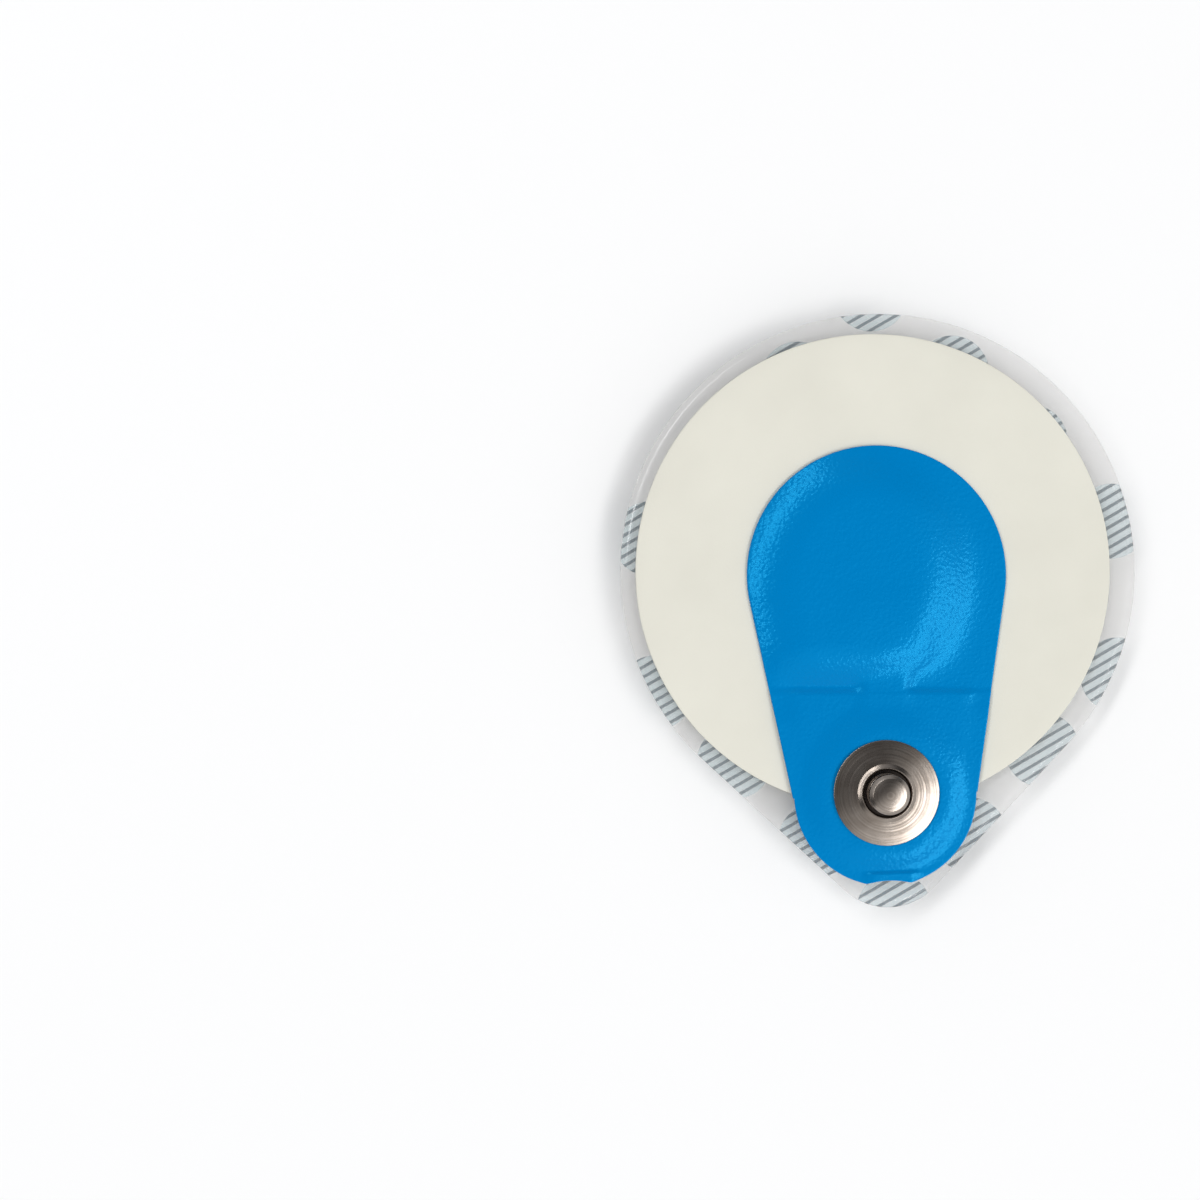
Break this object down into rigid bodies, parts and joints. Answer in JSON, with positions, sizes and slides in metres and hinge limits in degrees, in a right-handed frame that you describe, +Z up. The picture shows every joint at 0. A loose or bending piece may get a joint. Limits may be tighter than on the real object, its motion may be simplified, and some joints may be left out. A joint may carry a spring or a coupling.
{
  "type": "ecg electrode",
  "caption": "Disposable ECG electrode with an offset snap, on its clear teardrop release liner with a gel cup.",
  "frame": {"origin": "centre of the gel cup's flat base, on the table", "axes": "+Z up towards the snap stud, -Y towards the tab and the liner's tip, +X across"},
  "size_m": [0.0514, 0.0593, 0.0078],
  "materials": {
    "clear_film": "clear thermoformed film with hatched dots printed in grey-green",
    "cream_foam": "fine closed-cell foam sheet, matt",
    "gel_sponge": "open-cell sponge, wet with gel",
    "sensor_salt": "pressed pellet, matt",
    "lead_film": "pale conductive film",
    "lining_film": "off-white film, matt",
    "blue_film": "fine leather grain, satin",
    "snap_metal": "plated, with fine turned rings"
  },
  "bodies": {
    "root": {"release_liner": "clear_film", "foam_disc": "cream_foam", "gel_sponge": "gel_sponge", "sensor": "sensor_salt", "lead_strip": "lead_film", "tab_lining": "lining_film", "top_cover": "blue_film", "snap_eyelet": "snap_metal", "snap_stud": "snap_metal"}
  },
  "joints": []
}
